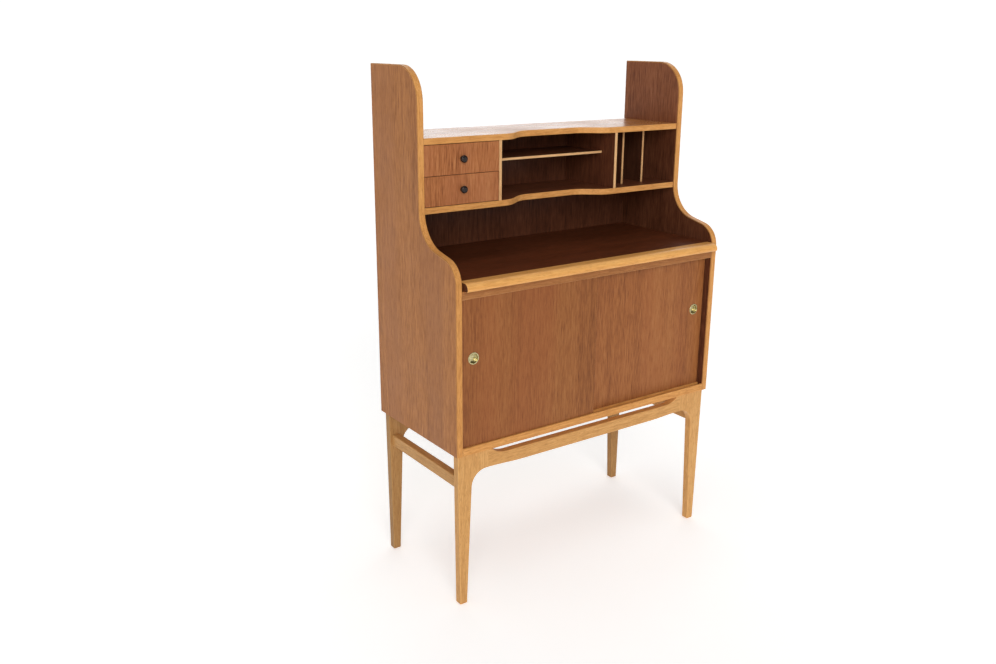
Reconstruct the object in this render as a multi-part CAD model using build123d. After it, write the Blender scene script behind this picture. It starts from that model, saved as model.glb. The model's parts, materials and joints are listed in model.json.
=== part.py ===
"""Secretary desk: a teak case with a writing slide, two sliding doors, a hutch and a leg frame.

The frame has +Z up, +X to the right and -Y to the front. The origin is on the floor, in the
middle of the width and of the overall depth. All sizes are in millimetres. A "depth" below is
a distance measured forwards from the back plane of the side panels.
"""
from build123d import *
import math
import os

# ---------------------------------------------------------------- driving dimensions
# overall
width = 790.0               # over the side panels
case_depth = 349.0          # side panels at the cabinet
hutch_depth = 201.0         # side panels at the hutch
base_height = 379.0         # floor to the underside of the case
door_opening = 342.0        # clear height between case bottom and case top
writing_space = 122.0       # writing board up to the lower hutch shelf
hutch_opening = 136.5       # clear height between the two hutch shelves
side_rise = 151.5           # side panels above the upper hutch shelf

# boards
side_t = 16.0               # side panels
panel_t = 18.0              # case top and case bottom
shelf_t = 14.0              # hutch shelves and inner shelf
board_t = 20.0              # writing board and its nosing
lipping_t = 2.0             # solid strips on the front edges
back_t = 4.0                # back panels
back_inset = 3.0            # back panels, in from the back plane
back_rebate = 8.0           # width of the rebate that holds the back panels
back_margin = 3.0           # back panels, in from the outer faces of the top and bottom boards
back_joint_gap = 0.5        # between the two back panels
case_arris = 1.2            # rounding of the light strips and the nosing's ends
thin_arris = 0.7            # rounding of thin strips, doors and drawer fronts
leg_arris = 2.0             # rounding of the leg frame

# side panel outline
top_radius = 76.0           # rounded top front corner
hollow_radius = 82.0        # concave curve under the hutch
shoulder_radius = 54.0      # convex curve above the writing board
slope_angle = 12.0          # fall of the straight between the two curves, in degrees
slope_min = 2.0             # least horizontal run of that straight; the curves shrink to leave it
shoulder_drop = 9.5         # centre of the shoulder curve below the writing surface

# hutch
hutch_recess = 2.5          # hutch front behind the side panels
scoop_depth = 42.0          # how far the shelf fronts step back in the middle
scoop_inner = 70.0          # half length of the stepped-back straight
scoop_run = 92.0            # length of each S curve
scoop_ease = 0.42           # handle of the S curves, as a share of their run
divider_x = 175.0           # centre of the two main dividers
divider_t = 7.0
divider_stop = 9.0          # tongue ends this far behind the divider's front strip
slat_t = 5.0                # pigeonhole dividers
slat_count = 2
slat_setback = 50.0         # pigeonhole dividers and letter shelf, behind the hutch front
letter_shelf_t = 5.5
letter_shelf_rise = 83.0    # above the lower hutch shelf
housing = 3.0               # depth of the grooves in the hutch shelves
letter_housing = 2.0        # depth of the grooves for the letter shelf

# drawers
drawer_gap = 1.2            # round the drawer fronts
drawer_clear = 0.4          # under a drawer
drawer_head = 2.0           # above a drawer box
drawer_back_gap = 3.0
drawer_front_t = 14.0
drawer_side_t = 8.0
drawer_bottom_t = 3.0
drawer_groove = 4.0         # depth of the grooves that hold the bottom
drawer_groove_rise = 6.0    # bottom panel above the lower edge of the sides
runner_t = 4.0              # panel between the drawers
runner_setback = 2.0        # panel, behind the back of the drawer fronts
runner_housing_side = 4.0

# knobs
knob_d = 17.0
knob_neck_d = 9.5
knob_base_d = 13.0
knob_base_t = 2.0
knob_neck_h = 5.0           # drawer front to the head
knob_projection = 11.0
knob_front_radius = 4.0
knob_rear_radius = 1.5
knob_hole = 7.5
knob_fit = 0.05
knob_screw_d = 3.5
knob_screw_head_d = 7.5
knob_screw_head_t = 2.0

# writing slide
slide_gap = 1.0             # under the writing board
board_side_gap = 1.0
board_back_gap = 2.0
nosing_inboard = 15.0       # nosing behind the case front
nosing_proud = 19.5         # nosing in front of the case front
nosing_top_radius = 13.5
nosing_under_radius = 4.5
nosing_lift = 1.5           # nosing's underside above the board's
guide_w = 10.0              # hardwood guide strips, half in the panel and half in the board
guide_h = 6.0
guide_clear = 0.5
guide_back = 30.0
guide_front_gap = 8.0       # guide strip behind the nosing
peg_d = 8.0
peg_x = 250.0
peg_depth = 60.0
peg_drop = 5.0              # below the board
peg_rise = 10.0             # into the board
peg_clear = 0.5
peg_end = 33.0              # solid board left in front of a peg at the end of its travel

# sliding doors
door_t = 11.0
door_side_gap = 0.5
door_overlap = 9.0
track_front_rib = 4.6       # solid wood in front of, between and behind the door grooves
track_mid_rib = 3.2
track_back_rib = 4.6
track_clear = 0.4
track_top = 10.5            # depth of the upper grooves
track_bottom = 5.0          # depth of the lower grooves
door_top_in = 5.0           # door in the upper grooves
door_run_clear = 0.4        # under the doors

# cup pulls
pull_inset = 31.0           # pull centre from the outer edge of a door
pull_rise = 206.0           # pull centre above the case bottom
pull_d = 28.0
pull_flange_t = 1.0
pull_cup_d = 23.8
pull_cup_depth = 7.0
pull_wall = 0.8
pull_bottom_radius = 2.5
pull_rim_radius = 0.7
pull_mouth_radius = 0.7
pull_fit = 0.1

# inner shelf
inner_shelf_rise = 165.0
inner_shelf_setback = 13.0  # behind the rails that hold the door grooves
inner_shelf_gap = 1.0
pin_d = 6.0
pin_in = 10.0
pin_out = 8.0
pin_from_ends = (42.0, 40.0)  # from the shelf's back and front edges
pin_pitch = 32.0
pin_rows = 5

# leg frame
leg_t = 20.0                # thickness of both frames
frame_front_inset = 6.5     # front frame behind the case front
frame_back_inset = 8.0      # rear frame in front of the back plane
leg_inset = 7.0             # legs in from the side panels, at the top
leg_splay = 4.0             # outer faces lean in by this much at the floor
leg_foot_w = 19.5
leg_knee_w = 38.8           # leg width where the rail's underside would meet it
arch_radius = 40.0
gusset_w = 82.0             # leg's shoulder, from its outer top corner to the rail
rail_end_h = 46.5
rail_under = 50.0           # underside of the middle of the rails, below the case
rail_bow_run = 106.0        # gentle curve at each end of the underside
slot_h = 18.5               # open slot between rail and case
slot_margin = 8.0           # tips of the slot, in from the ends of the rail
slot_end_radius = 60.0
side_rail_t = 20.0
side_rail_h = 28.5
side_rail_drop = 60.0       # top of the side rails below the case
side_rail_inset = 8.0       # side rails in from the legs' top outer corner

# dowels and screws
dowel_d = 8.0
dowel_l = 28.0
dowel_in_side = 10.0        # into a side panel or a leg
dowel_fit = 0.05            # radial clearance, and at each end of the hole
dowel_end = 28.0            # outer dowels of a board, from its core's back and front
frame_dowel_drops = (17.0, 34.0)
side_rail_dowel_rises = (8.0, 20.5)
base_screw_d = 5.0
base_screw_head_d = 9.5
base_screw_from_joint = 27.0
base_screw_hole_rise = 34.0  # head seat below the case
base_screw_in = 10.0         # into the case bottom
back_screw_d = 3.0
back_screw_head_d = 6.0
back_screw_l = 14.0
back_screw_fit = 0.05
back_screw_side_in = 4.0     # side rows, out from the panels' inner faces
back_screw_rows = (4, 3)     # down each side, in the lower and the upper panel
back_screw_top_rise = 5.0    # top row, above the underside of the upper hutch shelf

# ---------------------------------------------------------------- derived places
overall_depth = case_depth + nosing_proud
back_y = overall_depth / 2

outer_x = width / 2
inner_x = outer_x - side_t

z_case = base_height
z_floor = z_case + panel_t
z_lid = z_floor + door_opening
z_lid_top = z_lid + panel_t
z_board = z_lid_top + slide_gap
z_board_top = z_board + board_t
z_low_shelf = z_board_top + writing_space
z_low_shelf_top = z_low_shelf + shelf_t
z_high_shelf = z_low_shelf_top + hutch_opening
z_high_shelf_top = z_high_shelf + shelf_t
height = z_high_shelf_top + side_rise

back_face = back_inset + back_t
hutch_front = hutch_depth - hutch_recess
slat_depth = hutch_front - slat_setback
nosing_back = case_depth - nosing_inboard
guide_front = nosing_back - guide_front_gap
z_guide = z_board + board_t / 2

front_track = case_depth - track_front_rib
groove_w = door_t + 2 * track_clear
rear_track = front_track - groove_w - track_mid_rib
track_back = rear_track - groove_w - track_back_rib
slide_travel = track_back - peg_depth - peg_end
inner_shelf_back = back_face + inner_shelf_gap
inner_shelf_front = track_back - inner_shelf_setback
pin_depths = (inner_shelf_back + pin_from_ends[0], inner_shelf_front - pin_from_ends[1])
door_z0 = z_floor - track_bottom + door_run_clear
door_z1 = z_lid + door_top_in

drawer_left = -inner_x
drawer_right = -divider_x - divider_t / 2
z_runner = (z_low_shelf_top + z_high_shelf) / 2 + (runner_t - drawer_gap) / 2
runner_front = hutch_front - drawer_front_t - runner_setback

leg_outer = outer_x - leg_inset
joint_x = leg_outer - gusset_w
slot_half = joint_x - slot_margin
rail_bow_inner = joint_x - rail_bow_run
frame_front = case_depth - frame_front_inset
leg_foot_outer = leg_outer - leg_splay

EPS = 1.0                   # how far a cutter runs past a face
TINY = 0.01                 # two points this close are one corner


# ---------------------------------------------------------------- helpers
def y_at(depth):
    """The y of a point this far in front of the back plane."""
    return back_y - depth


def block(x0, x1, d0, d1, z0, z1):
    """A rectangular block between two x, two depths and two heights."""
    centre = Pos((x0 + x1) / 2, y_at((d0 + d1) / 2), (z0 + z1) / 2)
    return centre * Box(abs(x1 - x0), abs(d1 - d0), abs(z1 - z0))


def rod_x(x0, x1, depth, z, diameter):
    """A round rod along X."""
    return Pos((x0 + x1) / 2, y_at(depth), z) * Rot(0, 90, 0) * Cylinder(diameter / 2, abs(x1 - x0))


def rod_y(x, d0, d1, z, diameter):
    """A round rod along Y, between two depths."""
    return Pos(x, y_at((d0 + d1) / 2), z) * Rot(90, 0, 0) * Cylinder(diameter / 2, abs(d1 - d0))


def rod_z(x, depth, z0, z1, diameter):
    """A round rod along Z."""
    return Pos(x, y_at(depth), (z0 + z1) / 2) * Cylinder(diameter / 2, abs(z1 - z0))


def closed(points):
    """A flat face inside straight lines."""
    return make_face(Polyline(*points, close=True))


def turned(half):
    """A turned piece about Z, from the flat face of half its outline (radius, height)."""
    return revolve(Plane.XZ * half, Axis.Z)


def facing_front(shape, x, depth, z):
    """Stands a piece made along +Z on a front face, pointing to the front."""
    return Pos(x, y_at(depth), z) * Rot(90, 0, 0) * shape


def round_corner(face, x, y, radius):
    """Rounds one corner of a flat face, given in the face's own plane."""
    corner = [v for v in face.vertices() if same(v.X, x) and same(v.Y, y)]
    return fillet(corner, radius)


def arrises(shape, test):
    """The edges of a shape whose middle passes a test of (x, depth, z)."""
    found = []
    for edge in shape.edges():
        middle = edge.center()
        if test(middle.X, back_y - middle.Y, middle.Z):
            found.append(edge)
    return found


def same(a, b):
    """Whether two lengths are equal, within a hair."""
    return abs(a - b) < TINY


def cut(shape, tools):
    """The shape less each tool."""
    for tool in tools:
        shape = shape - tool
    return shape


def s_curve(x0, y0, x1, y1, ease):
    """An S curve that leaves and arrives parallel to the first axis."""
    pull = (x1 - x0) * ease
    return Bezier((x0, y0), (x0 + pull, y0), (x1 - pull, y1), (x1, y1))


def save(name, shape):
    """Writes one node, a single solid or a list of separate solids."""
    if isinstance(shape, list):
        shape = Compound(children=shape)
    export_step(shape, os.path.join("parts", name + ".step"))


# ---------------------------------------------------------------- fasteners
def countersunk(diameter, head_d, length):
    """A countersunk screw along +Z, its flat head at z = 0 and its tip at z = length."""
    head = (head_d - diameter) / 2
    tip = diameter / 2
    points = [
        (0, 0), (head_d / 2, 0), (diameter / 2, head),
        (diameter / 2, length - tip), (0, length),
    ]
    return turned(closed(points))


def dowel_row(core_front):
    """The depths of three dowels in the end of a board whose core ends here."""
    first = back_face + dowel_end
    last = core_front - dowel_end
    return (first, (first + last) / 2, last)


def dowel_places():
    """(sign of x, depth, z) of every case dowel."""
    rows = [
        (z_case + panel_t / 2, dowel_row(track_back)),
        (z_lid + panel_t / 2, dowel_row(track_back)),
        (z_low_shelf + shelf_t / 2, dowel_row(hutch_front - lipping_t)),
        (z_high_shelf + shelf_t / 2, dowel_row(hutch_front - lipping_t)),
    ]
    return [(s, d, z) for s in (-1, 1) for z, depths in rows for d in depths]


def case_dowel(sign, depth, z, grow=0.0):
    """A case dowel, or with grow its hole."""
    outer = sign * (inner_x + dowel_in_side + grow)
    inner = sign * (inner_x + dowel_in_side - dowel_l - grow)
    return rod_x(inner, outer, depth, z, dowel_d + 2 * grow)


def case_dowel_holes(z_low, z_high, signs=(-1, 1)):
    """The dowel holes of the pieces between two heights."""
    return [case_dowel(s, d, z, dowel_fit) for s, d, z in dowel_places()
            if s in signs and z_low < z < z_high]


def back_screw_places():
    """(x, z) of the back panel screws."""
    side_x = inner_x + back_screw_side_in
    low = (z_case + 2 * panel_t, z_lid - 2 * panel_t)
    high = (z_lid_top + 2 * panel_t, z_high_shelf - 2 * shelf_t)
    places = []
    for sign in (-1, 1):
        for (z0, z1), count in zip((low, high), back_screw_rows):
            places += [(sign * side_x, z0 + (z1 - z0) * i / (count - 1)) for i in range(count)]
    for z in (z_case + panel_t / 2, z_low_shelf + shelf_t / 2, z_high_shelf + back_screw_top_rise):
        places += [(x, z) for x in (-inner_x / 2, 0, inner_x / 2)]
    return places


def back_screw_cutters(x_low, x_high, z_low, z_high):
    """Screw-shaped holes for the back screws inside a region."""
    cutters = []
    for x, z in back_screw_places():
        if x_low < x < x_high and z_low < z < z_high:
            grow = 2 * back_screw_fit
            screw = countersunk(back_screw_d + grow, back_screw_head_d + grow, back_screw_l + grow)
            cutters.append(facing_front(screw, x, back_inset, z))
    return cutters


# ---------------------------------------------------------------- side panels
def panel_outline(inset):
    """A side panel's outline in the YZ plane, with its top and front edges in by inset."""
    alpha = math.radians(slope_angle)
    room = (case_depth - hutch_depth - slope_min) / (1 - math.sin(alpha))
    fit = min(1.0, room / (hollow_radius + shoulder_radius))
    hollow = hollow_radius * fit
    shoulder = shoulder_radius * fit

    shoulder_c = (y_at(case_depth - shoulder), z_board_top - shoulder_drop)
    r_shoulder = shoulder - inset
    r_hollow = hollow + inset
    y_hollow_c = y_at(hutch_depth + hollow)
    run = (y_hollow_c + hollow * math.sin(alpha)) - (shoulder_c[0] - shoulder * math.sin(alpha))
    z_join = shoulder_c[1] + shoulder * math.cos(alpha) + run * math.tan(alpha)
    hollow_c = (y_hollow_c, z_join + hollow * math.cos(alpha))
    top_c = (y_at(hutch_depth - top_radius), height - top_radius)
    r_top = top_radius - inset

    y_back = y_at(0)
    y_low = y_at(case_depth - inset)
    y_high = y_at(hutch_depth - inset)
    slope = slope_angle
    curve_top = CenterArc(top_c, r_top, 90, 90)
    curve_hollow = CenterArc(hollow_c, r_hollow, slope - 90, 90 - slope)
    curve_shoulder = CenterArc(shoulder_c, r_shoulder, 90 + slope, 90 - slope)
    edges = [
        Line((y_back, z_case), (y_back, height - inset)),
        Line((y_back, height - inset), (top_c[0], height - inset)),
        curve_top,
        Line((y_high, top_c[1]), (y_high, hollow_c[1])),
        curve_hollow,
        Line(curve_hollow @ 0, curve_shoulder @ 0),
        curve_shoulder,
        Line((y_low, shoulder_c[1]), (y_low, z_case)),
        Line((y_low, z_case), (y_back, z_case)),
    ]
    return make_face(edges)


def panel_plate(inset, sign):
    """A side panel's plate, at the left or the right."""
    plate = extrude(Plane.YZ * panel_outline(inset), amount=side_t)
    start = inner_x if sign > 0 else -outer_x
    return Pos(start, 0, 0) * plate


def side_panel(sign):
    """The veneered core: rebated for the backs, bored for dowels and pins, grooved for the guide."""
    inner = sign * inner_x
    tools = [
        block(inner - sign * EPS, inner + sign * back_rebate, -EPS, back_face,
              z_case - EPS, z_high_shelf_top),
        block(inner - sign * EPS, inner + sign * guide_w / 2, guide_back, guide_front,
              z_guide - guide_h / 2, z_guide + guide_h / 2),
    ]
    tools += case_dowel_holes(z_case, height, (sign,))
    tools += back_screw_cutters(min(inner, sign * outer_x), max(inner, sign * outer_x), z_case, height)
    z_mid = z_floor + inner_shelf_rise - pin_d / 2
    for depth in pin_depths:
        for i in range(pin_rows):
            z = z_mid + (i - pin_rows // 2) * pin_pitch
            tools.append(rod_x(inner - sign * EPS, inner + sign * pin_in, depth, z, pin_d))
    if sign < 0:
        tools.append(block(-inner_x - runner_housing_side, -inner_x + EPS, back_face - EPS, runner_front,
                           z_runner - runner_t, z_runner))
    return cut(panel_plate(lipping_t, sign), tools)


def side_edge(sign):
    """The solid strip over the top, down the front curves and to the bottom, with eased arrises."""
    def eased(x, depth, z):
        on_face = same(abs(x), inner_x) or same(abs(x), outer_x)
        return on_face and depth > TINY and z > z_case + TINY
    plate = panel_plate(0, sign)
    return fillet(arrises(plate, eased), case_arris) - panel_plate(lipping_t, sign)


# ---------------------------------------------------------------- hutch
def scooped_line(depth):
    """The front edges of a hutch shelf, left to right, with the middle stepped back."""
    y_front = y_at(depth)
    y_scoop = y_at(depth - scoop_depth)
    reach = scoop_inner + scoop_run
    return [
        Line((-inner_x, y_front), (-reach, y_front)),
        s_curve(-reach, y_front, -scoop_inner, y_scoop, scoop_ease),
        Line((-scoop_inner, y_scoop), (scoop_inner, y_scoop)),
        s_curve(scoop_inner, y_scoop, reach, y_front, scoop_ease),
        Line((reach, y_front), (inner_x, y_front)),
    ]


def scooped_board(depth_front, z):
    """A shelf-thick board from the back panel to a scooped front."""
    y_front = y_at(depth_front)
    y_back = y_at(back_face)
    edges = scooped_line(depth_front) + [
        Line((inner_x, y_front), (inner_x, y_back)),
        Line((inner_x, y_back), (-inner_x, y_back)),
        Line((-inner_x, y_back), (-inner_x, y_front)),
    ]
    return extrude(Plane.XY.offset(z) * make_face(edges), amount=shelf_t)


def slat_places():
    """Centres of the pigeonhole dividers, evenly spaced from the right divider to the side."""
    start = divider_x + divider_t / 2
    cell = (inner_x - start - slat_count * slat_t) / (slat_count + 1)
    return [start + (cell + slat_t) * i + cell + slat_t / 2 for i in range(slat_count)]


def hutch_housings(z0, z1):
    """The grooves in a hutch shelf that hold the dividers."""
    stop = hutch_front - lipping_t - divider_stop
    grooves = [block(x - divider_t / 2, x + divider_t / 2, back_face - EPS, stop, z0, z1)
               for x in (-divider_x, divider_x)]
    grooves += [block(x - slat_t / 2, x + slat_t / 2, back_face - EPS, slat_depth, z0, z1)
                for x in slat_places()]
    return grooves


def hutch_shelf(z, grooves):
    """A hutch shelf's core."""
    core = scooped_board(hutch_front - lipping_t, z)
    holes = case_dowel_holes(z, z + shelf_t) + back_screw_cutters(-inner_x, inner_x, z, z + shelf_t)
    return cut(core, grooves + holes)


def hutch_edge(z):
    """The solid strip along a shelf's scooped front, with eased arrises."""
    def eased(x, depth, z_edge):
        on_face = same(z_edge, z) or same(z_edge, z + shelf_t)
        return on_face and depth > back_face + TINY and not same(abs(x), inner_x)
    board = scooped_board(hutch_front, z)
    return fillet(arrises(board, eased), case_arris) - scooped_board(hutch_front - lipping_t, z)


def main_divider(x):
    """A main divider with tongues in both shelves and a groove for the letter shelf."""
    x0 = x - divider_t / 2
    x1 = x + divider_t / 2
    front = hutch_front - lipping_t
    core = block(x0, x1, back_face, front, z_low_shelf_top, z_high_shelf)
    tongue = block(x0, x1, back_face, front - divider_stop,
                   z_low_shelf_top - housing, z_high_shelf + housing)
    face = x1 if x < 0 else x0
    side = 1 if x < 0 else -1
    z = z_low_shelf_top + letter_shelf_rise
    tools = [block(face + side * EPS, face - side * letter_housing, back_face - EPS, slat_depth,
                   z, z + letter_shelf_t)]
    if x < 0:
        tools.append(block(x0 - EPS, x0 + housing, back_face - EPS, runner_front,
                           z_runner - runner_t, z_runner))
    return cut(core + tongue, tools)


def divider_edge(x):
    """The light strip on the front of a main divider."""
    strip = block(x - divider_t / 2, x + divider_t / 2, hutch_front - lipping_t, hutch_front,
                  z_low_shelf_top, z_high_shelf)
    front = arrises(strip, lambda ex, d, z: same(d, hutch_front) and not same(ex, x))
    return fillet(front, thin_arris)


def slat(x, d0, d1):
    """A pigeonhole divider, or its front strip, between two depths."""
    return block(x - slat_t / 2, x + slat_t / 2, d0, d1, z_low_shelf_top - housing, z_high_shelf + housing)


def slat_edge(x):
    """The light strip on the front of a pigeonhole divider."""
    strip = slat(x, slat_depth - lipping_t, slat_depth)
    return fillet(arrises(strip, lambda ex, d, z: same(d, slat_depth) and not same(ex, x)), thin_arris)


def letter_shelf(d0, d1):
    """The thin shelf between the main dividers, or its front strip, between two depths."""
    reach = divider_x - divider_t / 2 + letter_housing
    z = z_low_shelf_top + letter_shelf_rise
    return block(-reach, reach, d0, d1, z, z + letter_shelf_t)


def letter_shelf_edge():
    """The light strip on the front of the letter shelf."""
    strip = letter_shelf(slat_depth - lipping_t, slat_depth)
    return fillet(arrises(strip, lambda x, d, z: same(d, slat_depth) and same(x, 0)), thin_arris)


def drawer_runner():
    """The panel that the upper drawer runs on."""
    return block(drawer_left - runner_housing_side, drawer_right + housing, back_face, runner_front,
                 z_runner - runner_t, z_runner)


# ---------------------------------------------------------------- drawers
def knob():
    """A turned knob along +Z, bored for its screw."""
    r = knob_d / 2
    neck = knob_neck_d / 2
    points = [
        (0, 0), (knob_base_d / 2, 0), (knob_base_d / 2, knob_base_t), (neck, 2 * knob_base_t),
        (neck, knob_neck_h), (r, knob_neck_h), (r, knob_projection), (0, knob_projection),
    ]
    half = round_corner(closed(points), r, knob_projection, knob_front_radius)
    half = round_corner(half, r, knob_neck_h, knob_rear_radius)
    bore = Pos(0, 0, knob_hole / 2) * Cylinder(knob_screw_d / 2 + knob_fit, knob_hole)
    return turned(half) - bore


def knob_screw():
    """A pan-head screw along +Z, from the back of a drawer front into its knob."""
    reach = drawer_front_t + knob_hole - 1
    head = Pos(0, 0, -knob_screw_head_t / 2) * Cylinder(knob_screw_head_d / 2, knob_screw_head_t)
    shank = Pos(0, 0, reach / 2) * Cylinder(knob_screw_d / 2, reach)
    return head + shank


def drawer(name, z_front0, z_front1, z_box0, z_box1):
    """One drawer: front, two sides, back, bottom, knob and screw."""
    x0 = drawer_left + drawer_gap
    x1 = drawer_right - drawer_gap
    d_front = hutch_front
    d_join = hutch_front - drawer_front_t
    d_back = back_face + drawer_back_gap
    z_groove = z_box0 + drawer_groove_rise
    in_x0 = x0 + drawer_side_t
    in_x1 = x1 - drawer_side_t
    bottom = block(in_x0 - drawer_groove, in_x1 + drawer_groove, d_back, d_join + drawer_groove,
                   z_groove, z_groove + drawer_bottom_t)
    x_mid = (x0 + x1) / 2
    z_mid = (z_front0 + z_front1) / 2
    hole = rod_y(x_mid, d_join - EPS, d_front + EPS, z_mid, knob_screw_d + 2 * knob_fit)
    front = block(x0, x1, d_join, d_front, z_front0, z_front1)
    front = fillet(arrises(front, lambda x, d, z: same(d, d_front)), thin_arris)
    left = block(x0, in_x0, d_back, d_join, z_box0, z_box1)
    right = block(in_x1, x1, d_back, d_join, z_box0, z_box1)
    back = block(in_x0, in_x1, d_back, d_back + drawer_side_t, z_groove + drawer_bottom_t, z_box1)
    save(name + "_front", cut(front, [bottom, hole]))
    save(name + "_side_left", left - bottom)
    save(name + "_side_right", right - bottom)
    save(name + "_back", back)
    save(name + "_bottom", bottom)
    save(name + "_knob", facing_front(knob(), x_mid, d_front, z_mid))
    save(name + "_knob_screw", facing_front(knob_screw(), x_mid, d_join, z_mid))


# ---------------------------------------------------------------- case boards
def door_grooves(z0, z1):
    """The two door grooves, between two heights."""
    return [block(-inner_x - EPS, inner_x + EPS, d - groove_w, d, z0, z1) for d in (front_track, rear_track)]


def case_board(z, tools):
    """The core of the case top or bottom."""
    core = block(-inner_x, inner_x, back_face, track_back, z, z + panel_t)
    holes = case_dowel_holes(z, z + panel_t) + back_screw_cutters(-inner_x, inner_x, z, z + panel_t)
    return cut(core, tools + holes)


def case_rail(z, tools):
    """The solid front rail of the case top or bottom, with eased front arrises."""
    bar = block(-inner_x, inner_x, track_back, case_depth, z, z + panel_t)
    bar = fillet(arrises(bar, lambda x, d, z_edge: same(d, case_depth) and same(x, 0)), case_arris)
    return cut(bar, tools)


def peg_slots():
    """The grooves in the case top that the writing slide's pegs run in."""
    r = peg_d / 2 + peg_clear
    z0 = z_lid_top - peg_drop + slide_gap - peg_clear
    return [block(x - r, x + r, peg_depth - r, peg_depth + slide_travel + r, z0, z_lid_top + EPS)
            for x in (-peg_x, peg_x)]


# ---------------------------------------------------------------- writing slide
def writing_board():
    """The writing board's core, grooved for the guides and bored for the pegs."""
    reach = inner_x - board_side_gap
    core = block(-reach, reach, back_face + board_back_gap, nosing_back, z_board, z_board_top)
    tools = []
    groove_in = inner_x - guide_w / 2 - guide_clear
    half = guide_h / 2 + guide_clear
    for sign in (-1, 1):
        tools.append(block(sign * groove_in, sign * (reach + EPS), 0, guide_front + guide_clear,
                           z_guide - half, z_guide + half))
        tools.append(rod_z(sign * peg_x, peg_depth, z_board - EPS, z_board + peg_rise + dowel_fit,
                           peg_d + 2 * dowel_fit))
    return cut(core, tools)


def nosing():
    """The rounded solid nosing; its ends run between the side panels."""
    y_front = y_at(case_depth + nosing_proud)
    y_rear = y_at(nosing_back)
    z_under = z_board + nosing_lift
    section = closed([(y_rear, z_under), (y_rear, z_board_top), (y_front, z_board_top), (y_front, z_under)])
    section = round_corner(section, y_front, z_board_top, nosing_top_radius)
    section = round_corner(section, y_front, z_under, nosing_under_radius)
    reach = inner_x - board_side_gap
    bar = Pos(-reach, 0, 0) * extrude(Plane.YZ * section, amount=2 * reach)
    return fillet(arrises(bar, lambda x, d, z: same(abs(x), reach) and d > nosing_back + TINY), case_arris)


def guide_strip(sign):
    """A hardwood strip, half in the side panel's groove."""
    return block(sign * (inner_x - guide_w / 2), sign * (inner_x + guide_w / 2), guide_back, guide_front,
                 z_guide - guide_h / 2, z_guide + guide_h / 2)


# ---------------------------------------------------------------- doors
def door(sign, track):
    """A sliding door, bored for its cup pull."""
    x_out = sign * (inner_x - door_side_gap)
    x_in = -sign * door_overlap / 2
    face = track - track_clear
    panel = block(x_out, x_in, face - door_t, face, door_z0, door_z1)
    panel = fillet(arrises(panel, lambda x, d, z: same(d, face) and not same(z, door_z0)
                           and not same(z, door_z1)), thin_arris)
    x_pull = sign * (inner_x - door_side_gap - pull_inset)
    pocket = rod_y(x_pull, face - pull_cup_depth - 2 * pull_fit, face + EPS, z_floor + pull_rise,
                   pull_cup_d + 2 * pull_fit)
    return panel - pocket, facing_front(cup_pull(), x_pull, face, z_floor + pull_rise)


def cup_pull():
    """A pressed cup with a flange, the back of its flange on z = 0, opening along +Z."""
    r_cup = pull_cup_d / 2
    r_in = r_cup - pull_wall
    r_out = pull_d / 2
    z_in = pull_wall - pull_cup_depth
    points = [
        (0, -pull_cup_depth), (r_cup, -pull_cup_depth), (r_cup, 0), (r_out, 0),
        (r_out, pull_flange_t), (r_in, pull_flange_t), (r_in, z_in), (0, z_in),
    ]
    half = round_corner(closed(points), r_cup, -pull_cup_depth, pull_bottom_radius)
    half = round_corner(half, r_in, z_in, pull_bottom_radius - pull_wall)
    half = round_corner(half, r_out, pull_flange_t, pull_rim_radius)
    return turned(round_corner(half, r_in, pull_flange_t, pull_mouth_radius))


# ---------------------------------------------------------------- leg frame
def frame_plate(face, depth_front):
    """A plate of the leg frame's thickness, its front at this depth."""
    return Pos(0, y_at(depth_front - leg_t), 0) * extrude(Plane.XZ * face, amount=leg_t)


def frame_dowels(depth_front, grow=0.0):
    """The dowels of one frame's rail, or their holes."""
    reach = dowel_l / 2 + grow
    depth = depth_front - leg_t / 2
    return [rod_x(x - reach, x + reach, depth, z_case - drop, dowel_d + 2 * grow)
            for x in (-joint_x, joint_x) for drop in frame_dowel_drops]


def side_rail_dowels(sign, grow=0.0):
    """The dowels at both ends of one side rail, or their holes."""
    x = sign * (leg_outer - side_rail_inset - side_rail_t / 2)
    z0 = z_case - side_rail_drop - side_rail_h
    ends = (
        (frame_back_inset + leg_t - dowel_in_side, 1),
        (frame_front - leg_t + dowel_in_side, -1),
    )
    rods = []
    for start, way in ends:
        d0 = start - way * grow
        d1 = start + way * (dowel_l + grow)
        rods += [rod_y(x, d0, d1, z0 + rise, dowel_d + 2 * grow) for rise in side_rail_dowel_rises]
    return rods


def base_screw():
    """A long screw along +Z, head down."""
    return countersunk(base_screw_d, base_screw_head_d, base_screw_hole_rise + base_screw_in)


def base_screw_places():
    """(x, depth) of the screws that hold the leg frame to the case."""
    x = joint_x + base_screw_from_joint
    depths = (frame_back_inset + leg_t / 2, frame_front - leg_t / 2)
    return [(s * x, d) for s in (-1, 1) for d in depths]


def base_screw_cutters(with_bore):
    """Holes for the base screws, with the bore below their heads if asked."""
    cutters = []
    z_head = z_case - base_screw_hole_rise
    grow = 2 * dowel_fit
    for x, depth in base_screw_places():
        screw = countersunk(base_screw_d + grow, base_screw_head_d + grow,
                            base_screw_hole_rise + base_screw_in + grow)
        cutters.append(Pos(x, y_at(depth), z_head) * screw)
        if with_bore:
            cutters.append(rod_z(x, depth, z_case - 2 * rail_under, z_head, base_screw_head_d + grow))
    return cutters


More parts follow.
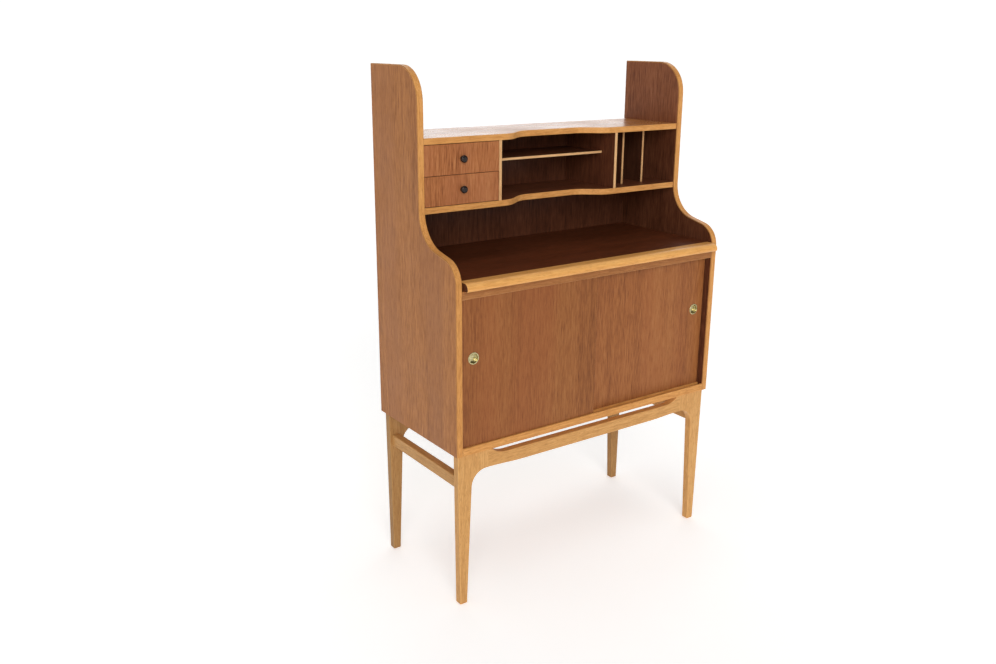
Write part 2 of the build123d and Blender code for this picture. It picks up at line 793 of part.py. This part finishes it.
def leg(sign, depth_front):
    """A leg with its shoulder: tapered, arched into the rail, chamfered at the foot."""
    z_under = z_case - rail_end_h
    knee_x = leg_outer - leg_knee_w
    points = [
        (joint_x, z_case), (leg_outer, z_case), (leg_foot_outer, 0), (leg_foot_outer - leg_foot_w, 0),
        (knee_x, z_under), (joint_x, z_under),
    ]
    face = round_corner(closed(points), knee_x, z_under, min(arch_radius, knee_x - joint_x - EPS))
    plate = frame_plate(face, depth_front)

    def eased(x, depth, z):
        on_face = same(depth, depth_front) or same(depth, depth_front - leg_t)
        return same(z, 0) or on_face and z < z_case - TINY and not same(x, joint_x)
    plate = fillet(arrises(plate, eased), leg_arris)
    if sign < 0:
        plate = mirror(plate, about=Plane.YZ)
    holes = frame_dowels(depth_front, dowel_fit) + side_rail_dowels(sign, dowel_fit)
    return cut(plate, holes + base_screw_cutters(True))


def frame_rail(depth_front):
    """A front or rear rail, hollowed along its top to leave the slot under the case."""
    z_under = z_case - rail_end_h
    z_mid = z_case - rail_under
    run = math.sqrt(2 * slot_end_radius * slot_h - slot_h ** 2)
    flat = slot_half - run
    z_slot = z_case - slot_h
    centre_z = z_slot + slot_end_radius
    sweep = math.degrees(math.asin(run / slot_end_radius))
    edges = [
        Line((-joint_x, z_case), (-slot_half, z_case)),
        CenterArc((-flat, centre_z), slot_end_radius, 270 - sweep, sweep),
        Line((-flat, z_slot), (flat, z_slot)),
        CenterArc((flat, centre_z), slot_end_radius, 270, sweep),
        Line((slot_half, z_case), (joint_x, z_case)),
        Line((joint_x, z_case), (joint_x, z_under)),
        s_curve(joint_x, z_under, rail_bow_inner, z_mid, scoop_ease),
        Line((rail_bow_inner, z_mid), (-rail_bow_inner, z_mid)),
        s_curve(-rail_bow_inner, z_mid, -joint_x, z_under, scoop_ease),
        Line((-joint_x, z_under), (-joint_x, z_case)),
    ]
    plate = frame_plate(make_face(edges), depth_front)

    def eased(x, depth, z):
        on_face = same(depth, depth_front) or same(depth, depth_front - leg_t)
        return on_face and z < z_case - TINY and not same(abs(x), joint_x)
    return cut(fillet(arrises(plate, eased), leg_arris), frame_dowels(depth_front, dowel_fit))


def side_rail(sign):
    """A straight rail between the front and rear legs."""
    x_out = leg_outer - side_rail_inset
    z1 = z_case - side_rail_drop
    rail = block(sign * x_out, sign * (x_out - side_rail_t), frame_back_inset + leg_t, frame_front - leg_t,
                 z1 - side_rail_h, z1)
    middle = (frame_back_inset + frame_front) / 2
    rail = fillet(arrises(rail, lambda x, d, z: same(d, middle)), leg_arris)
    return cut(rail, side_rail_dowels(sign, dowel_fit))


# ---------------------------------------------------------------- build every node
os.makedirs("parts", exist_ok=True)

for side_name, sign in (("left", -1), ("right", 1)):
    save("side_panel_" + side_name, side_panel(sign))
    save("side_edge_" + side_name, side_edge(sign))
    save("slide_guide_" + side_name, guide_strip(sign))
    save("divider_" + side_name, main_divider(sign * divider_x))
    save("side_rail_" + side_name, side_rail(sign))
    save("leg_front_" + side_name, leg(sign, frame_front))
    save("leg_rear_" + side_name, leg(sign, frame_back_inset + leg_t))
save("divider_edges", [divider_edge(-divider_x), divider_edge(divider_x)])

top_housings = hutch_housings(z_high_shelf - EPS, z_high_shelf + housing)
low_housings = hutch_housings(z_low_shelf_top - housing, z_low_shelf_top + EPS)
save("hutch_top", hutch_shelf(z_high_shelf, top_housings))
save("hutch_top_edge", hutch_edge(z_high_shelf))
save("hutch_shelf", hutch_shelf(z_low_shelf, low_housings))
save("hutch_shelf_edge", hutch_edge(z_low_shelf))
for number, x in enumerate(slat_places(), 1):
    save("pigeonhole_divider_%d" % number, slat(x, back_face, slat_depth - lipping_t))
save("pigeonhole_edges", [slat_edge(x) for x in slat_places()])
save("letter_shelf", letter_shelf(back_face, slat_depth - lipping_t))
save("letter_shelf_edge", letter_shelf_edge())
save("drawer_runner", drawer_runner())

drawer("lower_drawer", z_low_shelf_top + drawer_gap, z_runner - runner_t / 2 - drawer_gap / 2,
       z_low_shelf_top + drawer_clear, z_runner - runner_t - drawer_head)
drawer("upper_drawer", z_runner - runner_t / 2 + drawer_gap / 2, z_high_shelf - drawer_gap,
       z_runner + drawer_clear, z_high_shelf - drawer_head)

back_x = inner_x + back_rebate - back_screw_fit
z_back_joint = z_lid + panel_t / 2
lower_back = block(-back_x, back_x, back_inset, back_face, z_case + back_margin,
                   z_back_joint - back_joint_gap / 2)
upper_back = block(-back_x, back_x, back_inset, back_face, z_back_joint + back_joint_gap / 2,
                   z_high_shelf_top - back_margin)
save("back_panel_lower", cut(lower_back, back_screw_cutters(-outer_x, outer_x, z_case, z_back_joint)))
save("back_panel_upper", cut(upper_back, back_screw_cutters(-outer_x, outer_x, z_back_joint, height)))

save("case_top", case_board(z_lid, peg_slots()))
save("case_top_rail", case_rail(z_lid, door_grooves(z_lid - EPS, z_lid + track_top)))
save("case_bottom", case_board(z_case, base_screw_cutters(False)))
save("case_bottom_rail", case_rail(z_case, door_grooves(z_floor - track_bottom, z_floor + EPS)
                                   + base_screw_cutters(False)))

save("writing_board", writing_board())
save("board_nosing", nosing())
save("slide_stop_pegs", [rod_z(x, peg_depth, z_board - peg_drop, z_board + peg_rise, peg_d)
                         for x in (-peg_x, peg_x)])

for side_name, sign, track in (("left", -1, front_track), ("right", 1, rear_track)):
    panel, pull = door(sign, track)
    save("door_" + side_name, panel)
    save("door_pull_" + side_name, pull)

z_inner_shelf = z_floor + inner_shelf_rise
shelf_reach = inner_x - inner_shelf_gap
save("inner_shelf", block(-shelf_reach, shelf_reach, inner_shelf_back, inner_shelf_front,
                          z_inner_shelf, z_inner_shelf + shelf_t))
z_pins = z_inner_shelf - pin_d / 2
save("shelf_pins", [rod_x(s * (inner_x - pin_out), s * (inner_x + pin_in), d, z_pins, pin_d)
                    for s in (-1, 1) for d in pin_depths])

save("front_rail", frame_rail(frame_front))
save("rear_rail", frame_rail(frame_back_inset + leg_t))
save("base_dowels", frame_dowels(frame_front) + frame_dowels(frame_back_inset + leg_t)
     + side_rail_dowels(-1) + side_rail_dowels(1))
save("case_dowels", [case_dowel(*place) for place in dowel_places()])
save("base_screws", [Pos(x, y_at(d), z_case - base_screw_hole_rise) * base_screw()
                     for x, d in base_screw_places()])
back_screw = countersunk(back_screw_d, back_screw_head_d, back_screw_l)
save("back_screws", [facing_front(back_screw, x, back_inset, z) for x, z in back_screw_places()])
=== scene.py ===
import json
import math

import bpy
from mathutils import Euler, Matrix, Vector

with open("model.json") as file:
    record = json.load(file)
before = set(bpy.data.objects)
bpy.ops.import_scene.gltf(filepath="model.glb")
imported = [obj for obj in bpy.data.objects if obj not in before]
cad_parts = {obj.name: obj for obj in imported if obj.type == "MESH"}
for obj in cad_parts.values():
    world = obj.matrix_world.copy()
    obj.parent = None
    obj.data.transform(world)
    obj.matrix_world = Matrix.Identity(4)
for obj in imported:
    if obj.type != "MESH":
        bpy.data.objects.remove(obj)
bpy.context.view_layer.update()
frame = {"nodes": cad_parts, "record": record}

NODES = frame["nodes"]
HUTCH_TOP = 1.0645  # height of the upper hutch shelf's top surface, in metres

# Where each board's grain runs. Boards not named here have grain running up and down.
GRAIN_X = {
    "hutch_top", "hutch_top_edge", "hutch_shelf", "hutch_shelf_edge", "letter_shelf", "letter_shelf_edge",
    "case_top", "case_top_rail", "case_bottom", "case_bottom_rail", "inner_shelf",
    "front_rail", "rear_rail",
    "writing_board", "board_nosing", "upper_drawer_back", "lower_drawer_back",
    "upper_drawer_bottom", "lower_drawer_bottom",
}
GRAIN_Y = {
    "side_rail_left", "side_rail_right", "slide_guide_left", "slide_guide_right", "drawer_runner",
    "upper_drawer_side_left", "upper_drawer_side_right",
    "lower_drawer_side_left", "lower_drawer_side_right",
}

# Wood tones, each dark, middle and light, as the screen shows them.
TEAK_SIDE = ((127, 77, 40), (168, 109, 60), (188, 128, 75))
TEAK_DOOR_LEFT = ((108, 60, 31), (142, 87, 46), (159, 104, 59))
TEAK_DOOR_RIGHT = ((114, 64, 34), (150, 92, 50), (167, 110, 64))
TEAK_DRAWER = ((127, 73, 40), (163, 100, 58), (182, 121, 75))
# Inner faces of the side panels: darker below the hutch, partly wood the sun has not faded and partly
# painted shade; lighter above it as painted light.
TEAK_UNFADED_SHADED = ((61, 31, 19), (94, 52, 33), (117, 71, 47))
TEAK_UNFADED_LIT = ((96, 52, 32), (134, 80, 50), (156, 100, 68))
# Painted shade: the boards inside the hutch are darkened as the shade of the recess.
TEAK_INNER_SHADED = ((52, 26, 16), (84, 46, 29), (108, 64, 42))
# Painted shade: the writing board under the hutch is darkened.
TEAK_BOARD_SHADED = ((58, 27, 14), (91, 45, 24), (118, 60, 35))
BEECH_STRIP = ((165, 106, 53), (204, 143, 78), (222, 164, 98))
BEECH_BASE = ((166, 115, 63), (203, 151, 90), (219, 172, 112))
BEECH_PALE = ((178, 128, 80), (214, 166, 114), (230, 188, 138))
# Painted shade: the case top rail is darkened brown for the shadow under the nosing.
BEECH_SHADED_UNDER_NOSING = ((124, 78, 42), (160, 106, 60), (184, 130, 80))
STRIP_SEAM = (146, 98, 56)
NOSING_ENDS = (84, 34, 20)
BEECH_NOSING = ((186, 126, 62), (222, 160, 88), (236, 182, 112))
BIRCH = ((190, 158, 116), (216, 186, 146), (230, 206, 170))


def linear(rgb):
    """A screen colour, 0 to 255, as the linear colour that a shader takes."""
    out = []
    for value in rgb:
        v = value / 255
        out.append(v / 12.92 if v <= 0.04045 else ((v + 0.055) / 1.055) ** 2.4)
    return (*out, 1.0)


class Graph:
    """A material's node tree, with a short method for each kind of node used here."""

    def __init__(self, name):
        self.material = bpy.data.materials.new(name)
        self.material.use_nodes = True
        self.tree = self.material.node_tree
        self.tree.nodes.clear()
        self.shader = self.add("ShaderNodeBsdfPrincipled")
        output = self.add("ShaderNodeOutputMaterial")
        self.tree.links.new(self.shader.outputs["BSDF"], output.inputs["Surface"])

    def add(self, kind, **settings):
        node = self.tree.nodes.new(kind)
        for key, value in settings.items():
            setattr(node, key, value)
        return node

    def feed(self, socket, value):
        """Links an output to a socket, or sets the socket to a constant."""
        if isinstance(value, bpy.types.NodeSocket):
            self.tree.links.new(value, socket)
        else:
            socket.default_value = value

    def place(self):
        """A point on the piece, in metres in its own frame."""
        return self.add("ShaderNodeTexCoord").outputs["Object"]

    def vector(self, operation, a, b):
        node = self.add("ShaderNodeVectorMath", operation=operation)
        self.feed(node.inputs[0], a)
        self.feed(node.inputs[1], b)
        return node.outputs[0]

    def math(self, operation, a, b=0.0):
        node = self.add("ShaderNodeMath", operation=operation)
        self.feed(node.inputs[0], a)
        self.feed(node.inputs[1], b)
        return node.outputs[0]

    def noise(self, point, scale=1.0, detail=2.0, roughness=0.5):
        node = self.add("ShaderNodeTexNoise")
        self.feed(node.inputs["Vector"], point)
        node.inputs["Scale"].default_value = scale
        node.inputs["Detail"].default_value = detail
        node.inputs["Roughness"].default_value = roughness
        return node.outputs["Fac"]

    def span(self, value, low, high, to_low=0.0, to_high=1.0):
        """Maps low..high to to_low..to_high, and holds the ends."""
        node = self.add("ShaderNodeMapRange")
        self.feed(node.inputs["Value"], value)
        node.inputs["From Min"].default_value = low
        node.inputs["From Max"].default_value = high
        node.inputs["To Min"].default_value = to_low
        node.inputs["To Max"].default_value = to_high
        return node.outputs["Result"]

    def ramp(self, value, colours):
        """Evenly spaced colours along 0..1."""
        node = self.add("ShaderNodeValToRGB")
        self.feed(node.inputs["Fac"], value)
        stops = node.color_ramp.elements
        for k, colour in enumerate(colours):
            at = k / (len(colours) - 1)
            stop = stops[0] if k == 0 else stops[-1] if k == len(colours) - 1 else stops.new(at)
            stop.position = at
            stop.color = colour
        return node.outputs["Color"]

    def mix(self, factor, a, b, blend="MIX"):
        node = self.add("ShaderNodeMix", data_type="RGBA", blend_type=blend)
        self.feed(node.inputs["Factor"], factor)
        sockets = [s for s in node.inputs if s.type == "RGBA"]
        self.feed(sockets[0], a)
        self.feed(sockets[1], b)
        return [s for s in node.outputs if s.type == "RGBA"][0]

    def rounding(self, facing):
        """1 on the rounded corners of a square-cut piece, and 0 on its flat faces."""
        sizes = [self.math("ABSOLUTE", facing.outputs[k]) for k in range(3)]
        most = self.math("MAXIMUM", self.math("MAXIMUM", sizes[0], sizes[1]), sizes[2])
        return self.span(most, 0.985, 0.90)

    def bump(self, height, strength, distance):
        node = self.add("ShaderNodeBump")
        self.feed(node.inputs["Height"], height)
        node.inputs["Strength"].default_value = strength
        node.inputs["Distance"].default_value = distance
        self.feed(self.shader.inputs["Normal"], node.outputs["Normal"])

    def finish(self, colour, roughness, **constants):
        self.feed(self.shader.inputs["Base Color"], colour)
        self.feed(self.shader.inputs["Roughness"], roughness)
        for key, value in constants.items():
            self.shader.inputs[key.replace("_", " ")].default_value = value
        return self.material


def along_grain(axis, across, along):
    """Scale factors that stretch a pattern along the grain axis."""
    return tuple(along if k == axis else across for k in range(3))


# Wood patterns: how many repeats to a metre across the grain and along it.
BANDS = {"across": 14.0, "along": 0.7}
STREAKS = {"across": 120.0, "along": 2.4, "detail": 3.0, "roughness": 0.6}
DASHES = {"across": 340.0, "along": 30.0, "roughness": 0.6}
FIBRES = {"across": 900.0, "along": 16.0, "roughness": 0.6}
PORES = {"across": 1100.0, "along": 60.0, "detail": 1.0}
HUE_BANDS = {"across": 9.0, "along": 0.5, "detail": 1.0}
FLECKS = {"across": 420.0, "along": 110.0, "detail": 0.0}
WANDER = (2.2, 1.3)
WANDER_REACH = 0.022    # metres that the grain strays sideways
PORE_DEPTH = 0.00012    # metres


class Wood(Graph):
    """A lacquered board's material. Its patterns follow the grain, which runs along one axis."""

    def __init__(self, name, axis, seed):
        super().__init__(name)
        self.axis = axis
        apart = (math.sin(seed * 12.9898), math.sin(seed * 78.233), math.sin(seed * 37.719))
        self.point = self.stray(self.vector("ADD", self.place(), tuple(Vector(apart) * 7.3)))
        self.facing = self.add("ShaderNodeSeparateXYZ")
        self.feed(self.facing.inputs[0], self.add("ShaderNodeTexCoord").outputs["Normal"])

    def stray(self, point):
        """Moves the point slowly sideways, so that the grain wanders."""
        wander = self.noise(self.vector("MULTIPLY", point, along_grain(self.axis, *WANDER)), 1.0, 1.0)
        aside = self.add("ShaderNodeCombineXYZ")
        for k in range(3):
            if k != self.axis:
                self.feed(aside.inputs[k], self.math("MULTIPLY", wander, WANDER_REACH))
        return self.vector("ADD", point, aside.outputs[0])

    def grain(self, across, along, detail=2.0, roughness=0.5):
        stretch = along_grain(self.axis, across, along)
        return self.noise(self.vector("MULTIPLY", self.point, stretch), 1.0, detail, roughness)

    def share(self, value, weight):
        """A pattern as plus or minus half its weight."""
        return self.math("MULTIPLY", self.math("SUBTRACT", value, 0.5), weight)

    def tone(self, fibres, contrast):
        """0 for the darkest wood and 1 for the lightest: bands, streaks, dashes and fibres together."""
        broad = self.share(self.grain(**BANDS), 0.65)
        tone = self.math("ADD", broad, self.share(self.grain(**STREAKS), 0.6))
        tone = self.math("ADD", tone, self.share(self.grain(**DASHES), 1.3))
        tone = self.math("ADD", tone, self.share(fibres, 0.7))
        return self.math("ADD", self.math("MULTIPLY", tone, contrast), 0.5)

    def tinted(self, colour, hue, hue_share):
        band = self.span(self.grain(**HUE_BANDS), 0.40, 0.62, 0.0, hue_share)
        return self.mix(band, colour, linear(hue))

    def unfaded_and_shaded(self, colour, tone, inward):
        """Gives the face that looks into the desk darker tones, partly wood that the sun has not faded and
        partly painted shade. Painted light makes them lighter above the hutch.
        """
        inside = self.math("GREATER_THAN", self.math("MULTIPLY", self.facing.outputs[0], inward), 0.5)
        height = self.add("ShaderNodeSeparateXYZ")
        self.feed(height.inputs[0], self.place())
        above = self.span(height.outputs[2], HUTCH_TOP - 0.01, HUTCH_TOP)
        shaded = self.ramp(tone, [linear(t) for t in TEAK_UNFADED_SHADED])
        unfaded_lit = self.ramp(tone, [linear(t) for t in TEAK_UNFADED_LIT])
        return self.mix(inside, colour, self.mix(above, shaded, unfaded_lit))

    def flecked(self, colour, dark, amount):
        flecks = self.span(self.grain(**FLECKS), 0.62, 0.76)
        return self.mix(self.math("MULTIPLY", flecks, amount), colour, dark)

    def rubbed_and_highlit(self, colour, light, wear_and_highlight):
        """Lightens the rounded corners, in patches: partly rubbed wear, partly a painted highlight."""
        patches = self.span(self.noise(self.point, 30.0, 2.0), 0.35, 0.6, 0.4, 1.0)
        rubbed_and_highlit = self.math("MULTIPLY", self.rounding(self.facing), patches)
        pale = [min(1.0, c * 1.25) for c in light[:3]] + [1.0]
        return self.mix(self.math("MULTIPLY", rubbed_and_highlit, wear_and_highlight), colour, tuple(pale))

    def glued(self, colour, seam):
        """Draws the glue line along the side corners of a strip."""
        sideways = self.math("ABSOLUTE", self.facing.outputs[0])
        corner = self.math("MULTIPLY", self.span(sideways, 0.25, 0.55), self.span(sideways, 0.999, 0.98))
        return self.mix(corner, colour, linear(seam))

    def cut_ends(self, colour, ends):
        """Paints the faces that cut across the grain."""
        cut = self.span(self.math("ABSOLUTE", self.facing.outputs[self.axis]), 0.6, 0.9)
        rings = self.mix(self.noise(self.point, 700.0, 3.0), linear(ends), linear([c * 0.4 for c in ends]))
        return self.mix(cut, colour, rings)

    def surface(self, fibres, pores, gloss):
        """Bumps of fibres and open pores, and the roughness of patchy lacquer, which is returned."""
        smudge = self.span(self.noise(self.point, 9.0, 3.0), 0.3, 0.7, gloss - 0.05, gloss + 0.06)
        relief = self.math("SUBTRACT", self.math("MULTIPLY", fibres, 0.4), pores)
        self.bump(relief, 0.35, PORE_DEPTH)
        return self.math("ADD", smudge, self.math("MULTIPLY", pores, 0.15))


def wood(name, tones, axis, seed, contrast=1.0, fleck=0.0, gloss=0.4, shine=0.15, hue=None,
         hue_share=0.0, inward=None, ends=None, seam=None, wear_and_highlight=0.25):
    """Lacquered wood: broad bands, growth streaks, fine fibres and open pores that follow the grain.

    tones are dark, middle and light. hue tints some of the broad bands. inward is the side, -1 or 1, of
    a face that looks into the desk: it keeps darker tones that the sun has not faded, which are also
    painted shade, and painted light makes them lighter above the hutch. ends is the tone of the end grain,
    and seam that of the glue line along a strip's corners. The last argument is how much the corners are
    lightened, partly by rubbed wear and partly as a painted highlight.
    """
    g = Wood(name, axis, seed)
    fibres = g.grain(**FIBRES)
    pores = g.span(g.grain(**PORES), 0.58, 0.72)
    tone = g.tone(fibres, contrast)
    colours = [linear(t) for t in tones]
    colour = g.ramp(tone, colours)
    if hue:
        colour = g.tinted(colour, hue, hue_share)
    if inward:
        colour = g.unfaded_and_shaded(colour, tone, inward)
    in_pores = [c * 0.5 for c in colours[0][:3]] + [1.0]
    colour = g.mix(g.math("MULTIPLY", pores, 0.35), colour, tuple(in_pores))
    if fleck:
        colour = g.flecked(colour, colours[0], fleck)
    # Rounded corners lightened, partly as rubbed wear and partly as a painted highlight.
    colour = g.rubbed_and_highlit(colour, colours[2], wear_and_highlight)
    if seam:
        colour = g.glued(colour, seam)
    if ends:
        colour = g.cut_ends(colour, ends)
    return g.finish(colour, g.surface(fibres, pores, gloss), Specular_IOR_Level=shine)


def brass(name):
    """Aged, lacquered brass with a few rubbed bright places and dull spots."""
    g = Graph(name)
    point = g.place()
    tarnish = g.span(g.noise(point, 260.0, 5.0, 0.6), 0.38, 0.66)
    spots = g.span(g.noise(point, 1300.0, 2.0), 0.60, 0.72)
    colour = g.mix(tarnish, linear((214, 204, 160)), linear((158, 146, 98)))
    colour = g.mix(g.math("MULTIPLY", spots, 0.6), colour, linear((92, 82, 50)))
    rough = g.span(tarnish, 0.0, 1.0, 0.18, 0.38)
    g.bump(g.noise(point, 700.0, 3.0), 0.12, 0.0001)
    return g.finish(colour, rough, Metallic=1.0)


def dark_knob(name):
    """Dark turned knob with brown blotches."""
    g = Graph(name)
    point = g.place()
    blotch = g.noise(point, 180.0, 4.0)
    colour = g.mix(g.span(blotch, 0.4, 0.62), linear((20, 13, 11)), linear((46, 30, 24)))
    rough = g.span(blotch, 0.3, 0.7, 0.18, 0.30)
    g.bump(g.noise(point, 900.0, 2.0), 0.15, 0.0001)
    return g.finish(colour, rough, Specular_IOR_Level=0.35)


def steel(name):
    """Zinc-plated screw steel."""
    g = Graph(name)
    point = g.place()
    mottle = g.span(g.noise(point, 500.0, 4.0), 0.35, 0.65)
    grey = g.mix(mottle, linear((150, 150, 148)), linear((190, 188, 180)))
    g.bump(g.noise(point, 1500.0, 2.0), 0.2, 0.00005)
    return g.finish(grey, g.span(g.noise(point, 300.0), 0.3, 0.7, 0.25, 0.42), Metallic=1.0)


# Painted light and shade inside the hutch: how light each board is against the darkened interior tones.
INNER_TEAK_SHADE = {"hutch_shelf": 1.2, "letter_shelf": 1.0, "divider_left": 1.0, "divider_right": 1.12,
              "pigeonhole_divider_1": 0.8, "pigeonhole_divider_2": 0.8, "back_panel_upper": 1.0}

PALE_STRIPS = {"divider_edges", "pigeonhole_edges", "letter_shelf_edge"}


def shade(tones, factor):
    """The same three tones, lighter or darker, as painted light and shade."""
    return [[c * factor for c in tone] for tone in tones]


def beech_finish(name, label, axis, seed):
    """Light wood: the nosing, the case top rail, the leg frame and the strips on front edges."""
    if name == "board_nosing":
        return wood(label, BEECH_NOSING, axis, seed, contrast=0.7, fleck=0.35, gloss=0.33, shine=0.3,
                    ends=NOSING_ENDS)
    if name == "case_top_rail":
        # Painted shade under the nosing, and the rounded corners lightened strongly as a painted highlight.
        return wood(label, BEECH_SHADED_UNDER_NOSING, axis, seed, contrast=0.7, fleck=0.35, wear_and_highlight=0.9)
    if name.startswith(("leg", "front_rail", "rear_rail", "side_rail")):
        # Painted shade: the rear legs and rear rail are darker, and the side rails a little darker.
        darker = 0.8 if "rear" in name else 0.94 if name.startswith("side_rail") else 1.0
        return wood(label, shade(BEECH_BASE, darker), axis, seed, contrast=0.8, fleck=0.35)
    if name in PALE_STRIPS:
        return wood(label, BEECH_PALE, axis, seed, contrast=0.9, fleck=0.2)
    if name.startswith("side_edge"):
        return wood(label, BEECH_STRIP, axis, seed, contrast=0.9, fleck=0.35, seam=STRIP_SEAM, wear_and_highlight=0.0)
    return wood(label, BEECH_STRIP, axis, seed, contrast=0.9, fleck=0.35)


def teak_finish(name, label, axis, seed):
    """Red-brown wood: doors, drawer fronts, writing board, hutch, side panels and shelves."""
    if name.startswith("door"):
        tones = TEAK_DOOR_LEFT if name.endswith("left") else TEAK_DOOR_RIGHT
        return wood(label, tones, axis, seed, hue=(148, 84, 48), hue_share=0.35)
    if "drawer" in name:
        return wood(label, TEAK_DRAWER, axis, seed, contrast=1.3, hue=(160, 96, 62), hue_share=0.4)
    # Painted shade: the writing board is darkened, as little light falls on it from above.
    if name == "writing_board":
        return wood(label, TEAK_BOARD_SHADED, axis, seed, gloss=0.36)
    # Painted shade: boards inside the hutch are darkened, each by its own factor.
    if name in INNER_TEAK_SHADE:
        return wood(label, shade(TEAK_INNER_SHADED, INNER_TEAK_SHADE[name]), axis, seed)
    # The side panels' inner faces get darker tones, partly painted shade, and are lighter above the hutch
    # as painted light.
    if name.startswith("side_panel"):
        inward = 1.0 if name.endswith("left") else -1.0
        return wood(label, TEAK_SIDE, axis, seed, contrast=1.2, hue=(160, 106, 68), hue_share=0.4,
                    inward=inward)
    return wood(label, TEAK_SIDE, axis, seed, gloss=0.26, shine=0.22)


def finish_of(name, slot, axis, seed):
    """The material of one CAD node."""
    label = f"{name}_finish"
    if slot == "brass":
        return brass(label)
    if slot == "dark_knob":
        return dark_knob(label)
    if slot == "steel":
        return steel(label)
    if slot == "birch":
        return wood(label, BIRCH, axis, seed, contrast=0.6, fleck=0.2, gloss=0.55)
    if slot == "beech":
        return beech_finish(name, label, axis, seed)
    return teak_finish(name, label, axis, seed)


def paint_nodes():
    """Gives every CAD node its own finish, so that no two boards share a figure."""
    for seed, part in enumerate(frame["record"]["subparts"]):
        name = part["node"]
        axis = 0 if name in GRAIN_X else 1 if name in GRAIN_Y else 2
        data = NODES[name].data
        data.materials.clear()
        data.materials.append(finish_of(name, part["material_slot"], axis, seed + 1))


def sun(name, toward, strength, softness):
    """A far, soft lamp. toward points from the desk to the lamp, and softness is its width in degrees."""
    data = bpy.data.lights.new(name, "SUN")
    data.energy = strength * math.pi
    data.angle = math.radians(softness)
    lamp = bpy.data.objects.new(name, data)
    bpy.context.scene.collection.objects.link(lamp)
    lamp.rotation_euler = Vector(toward).to_track_quat("Z", "Y").to_euler()


def floor():
    """A wide pale floor that glows a little, so that it stays white far from the desk."""
    bpy.ops.mesh.primitive_grid_add(x_subdivisions=8, y_subdivisions=8, size=40.0, location=(0, 0, -0.0005))
    ground = bpy.context.object
    ground.name = "studio_floor"
    g = Graph("studio_floor")
    speck = g.noise(g.place(), 6.0, 4.0)
    g.finish(g.mix(speck, (0.93, 0.925, 0.915, 1.0), (0.96, 0.958, 0.952, 1.0)), 0.75)
    g.shader.inputs["Emission Color"].default_value = (1.0, 1.0, 1.0, 1.0)
    g.shader.inputs["Emission Strength"].default_value = 0.34
    g.shader.inputs["Specular IOR Level"].default_value = 0.15
    ground.data.materials.append(g.material)


def glow(tree, strength):
    """A white background of one strength."""
    node = tree.nodes.new("ShaderNodeBackground")
    node.inputs["Color"].default_value = (1, 1, 1, 1)
    node.inputs["Strength"].default_value = strength
    return node


def choose(tree, ray, otherwise, chosen):
    """One background for a kind of ray, and another for all the rest."""
    path = tree.nodes.new("ShaderNodeLightPath")
    node = tree.nodes.new("ShaderNodeMixShader")
    tree.links.new(path.outputs[ray], node.inputs[0])
    tree.links.new(otherwise.outputs[0], node.inputs[1])
    tree.links.new(chosen.outputs[0], node.inputs[2])
    return node


def backdrop():
    """White behind the desk, dim from elsewhere, and brightest in reflections at the back."""
    world = bpy.data.worlds.new("studio")
    bpy.context.scene.world = world
    world.use_nodes = True
    tree = world.node_tree
    tree.nodes.clear()
    coordinates = tree.nodes.new("ShaderNodeTexCoord")
    split = tree.nodes.new("ShaderNodeSeparateXYZ")
    tree.links.new(coordinates.outputs["Generated"], split.inputs[0])
    behind = tree.nodes.new("ShaderNodeMapRange")
    behind.inputs["From Min"].default_value = -0.3
    behind.inputs["From Max"].default_value = 0.5
    behind.inputs["To Min"].default_value = 0.10
    behind.inputs["To Max"].default_value = 0.85
    tree.links.new(split.outputs["Y"], behind.inputs["Value"])
    mirrored = tree.nodes.new("ShaderNodeBackground")
    tree.links.new(behind.outputs[0], mirrored.inputs["Strength"])
    indirect = choose(tree, "Is Glossy Ray", glow(tree, 0.20), mirrored)
    seen = choose(tree, "Is Camera Ray", indirect, glow(tree, 1.05))
    out = tree.nodes.new("ShaderNodeOutputWorld")
    tree.links.new(seen.outputs[0], out.inputs["Surface"])


def studio():
    """A white room: a pale floor, a bright backdrop and soft lamps, the main one from the front left."""
    floor()
    backdrop()
    sun("key", (-0.45, -0.80, 0.34), 0.58, 35.0)
    sun("overhead", (-0.10, -0.10, 1.0), 0.245, 60.0)
    sun("back_fill", (0.55, 0.75, 0.35), 0.28, 60.0)


def camera():
    """Stands in front and to the left of the desk, a little above it, looking down."""
    data = bpy.data.cameras.new("camera")
    data.lens = 34.736
    data.sensor_width = 36.0
    data.sensor_fit = "HORIZONTAL"
    eye = bpy.data.objects.new("camera", data)
    bpy.context.scene.collection.objects.link(eye)
    eye.location = (-1.45153, -1.81309, 1.26999)
    turned = Euler((0, 0, -0.615442)).to_matrix() @ Euler((1.274654, 0, 0)).to_matrix()
    eye.rotation_euler = (turned @ Euler((0, 0, 0.006585)).to_matrix()).to_euler()
    bpy.context.scene.camera = eye


def look():
    """Plain screen colours, so that the tones above come out as written."""
    view = bpy.context.scene.view_settings
    view.view_transform = "Standard"
    view.look = "None"
    view.exposure = 0.0
    view.gamma = 1.0


paint_nodes()
studio()
camera()
look()
